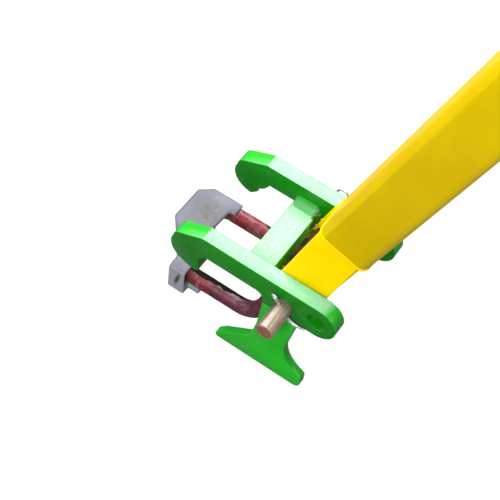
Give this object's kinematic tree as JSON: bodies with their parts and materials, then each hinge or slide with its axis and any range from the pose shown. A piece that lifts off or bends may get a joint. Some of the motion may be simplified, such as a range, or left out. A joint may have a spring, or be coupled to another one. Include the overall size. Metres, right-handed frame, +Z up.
{
  "type": "rail clip installation tool",
  "caption": "Hand lever tool with paired hooks, a cross bar, a T shaped foot and a pinned lever that pushes a sprung rod clip home.",
  "frame": {"origin": "midway between the side plates, where the hooks' inner faces meet the seat line under the bars", "axes": "+X from the hooks back to the rear lobes, +Y from the left plate with the foot to the right plate, +Z up through the bars"},
  "size_m": [0.5299, 0.15, 1.2119],
  "materials": {
    "green_paint": "gloss",
    "yellow_paint": "gloss",
    "plated_steel": "satin",
    "bright_wire": "bright",
    "worn_steel": "worn",
    "black_plastic": "matte",
    "rusty_spring_steel": "weathered",
    "grey_nylon": "satin"
  },
  "bodies": {
    "head": {"side_plate_left": "green_paint", "side_plate_right": "green_paint", "foot_plate": "green_paint", "foot_welds": "green_paint", "cross_bar": "green_paint", "cross_bar_welds": "green_paint", "pivot_pin": "plated_steel", "split_pins": "bright_wire"},
    "lever": {"lever_core": "yellow_paint", "hub_cheek_left": "yellow_paint", "hub_cheek_right": "yellow_paint", "pivot_sleeve": "yellow_paint", "sleeve_welds": "yellow_paint", "lever_tube": "yellow_paint", "tube_end_weld": "yellow_paint", "tube_plug": "black_plastic", "pusher_arm": "yellow_paint", "pusher_nose": "worn_steel"},
    "clip": {"clip_rod": "rusty_spring_steel", "toe_insulator": "grey_nylon"}
  },
  "joints": [
    {"name": "lever_swing", "type": "hinge", "parent": "head", "child": "lever", "pos_m": [0.084, 0, 0.002], "axis": [0, 1, 0], "range_deg": [-40, 0]},
    {"name": "clip_slide", "type": "slide", "parent": "head", "child": "clip", "axis": [1, 0, 0], "range_m": [0, 0.0265]}
  ],
  "couplings": [
    {"joint": "clip_slide", "follows": "lever_swing", "m_per_rad": -0.0369}
  ]
}
